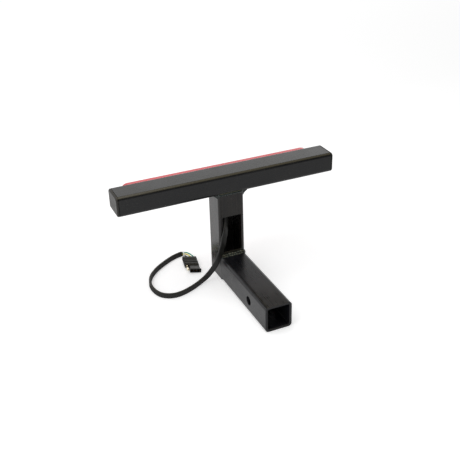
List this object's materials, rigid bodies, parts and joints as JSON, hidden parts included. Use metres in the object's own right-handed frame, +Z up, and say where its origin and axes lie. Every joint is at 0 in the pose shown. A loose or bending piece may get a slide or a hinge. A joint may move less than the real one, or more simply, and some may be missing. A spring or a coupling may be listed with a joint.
{
  "type": "trailer lighting board",
  "caption": "Towbar light bar: square receiver tube, riser and crossbar with a slim red lamp along its far face and a flat lead with a four-way plug.",
  "frame": {"origin": "on the floor, under the middle of the light bar's box without its free lead and plug", "axes": "+X along the crossbar, -Y out of the receiver tube's open end towards the vehicle, +Y the way the lamp faces, +Z up"},
  "size_m": [0.428, 0.3101, 0.2159],
  "materials": {
    "steel_black": "satin black powder coat",
    "weld_black": "powder coat over a rippled weld bead",
    "cap_plastic": "moulded polyethylene",
    "gasket_foam": "closed-cell foam",
    "lamp_plastic": "moulded, fine texture",
    "board_white": "white solder mask",
    "led_amber": "clear silicone over the chip",
    "lens_red": "polished red lens",
    "screw_steel": "bright stainless",
    "grommet_rubber": "moulded",
    "lead_jacket": "ribbed flat jacket",
    "wire_white": "extruded insulation",
    "wire_brown": "extruded insulation",
    "wire_yellow": "extruded insulation",
    "wire_green": "extruded insulation",
    "plug_rubber": "moulded",
    "contact_brass": "bright turned"
  },
  "bodies": {
    "root": {"shank_tube": "steel_black", "riser_tube": "steel_black", "crossbar_tube": "steel_black", "weld_foot": "weld_black", "weld_top": "weld_black", "end_cap_left": "cap_plastic", "end_cap_right": "cap_plastic", "lamp_gasket": "gasket_foam", "lamp_base": "lamp_plastic", "circuit_board": "board_white", "led_chips": "led_amber", "lamp_lens": "lens_red", "lamp_screws": "screw_steel", "lead_grommet": "grommet_rubber", "lead_inside": "lead_jacket", "lead_cord": "lead_jacket", "wire_white": "wire_white", "wire_brown": "wire_brown", "wire_yellow": "wire_yellow", "wire_green": "wire_green", "plug_body": "plug_rubber", "plug_pin": "contact_brass", "plug_sockets": "contact_brass"}
  },
  "joints": []
}
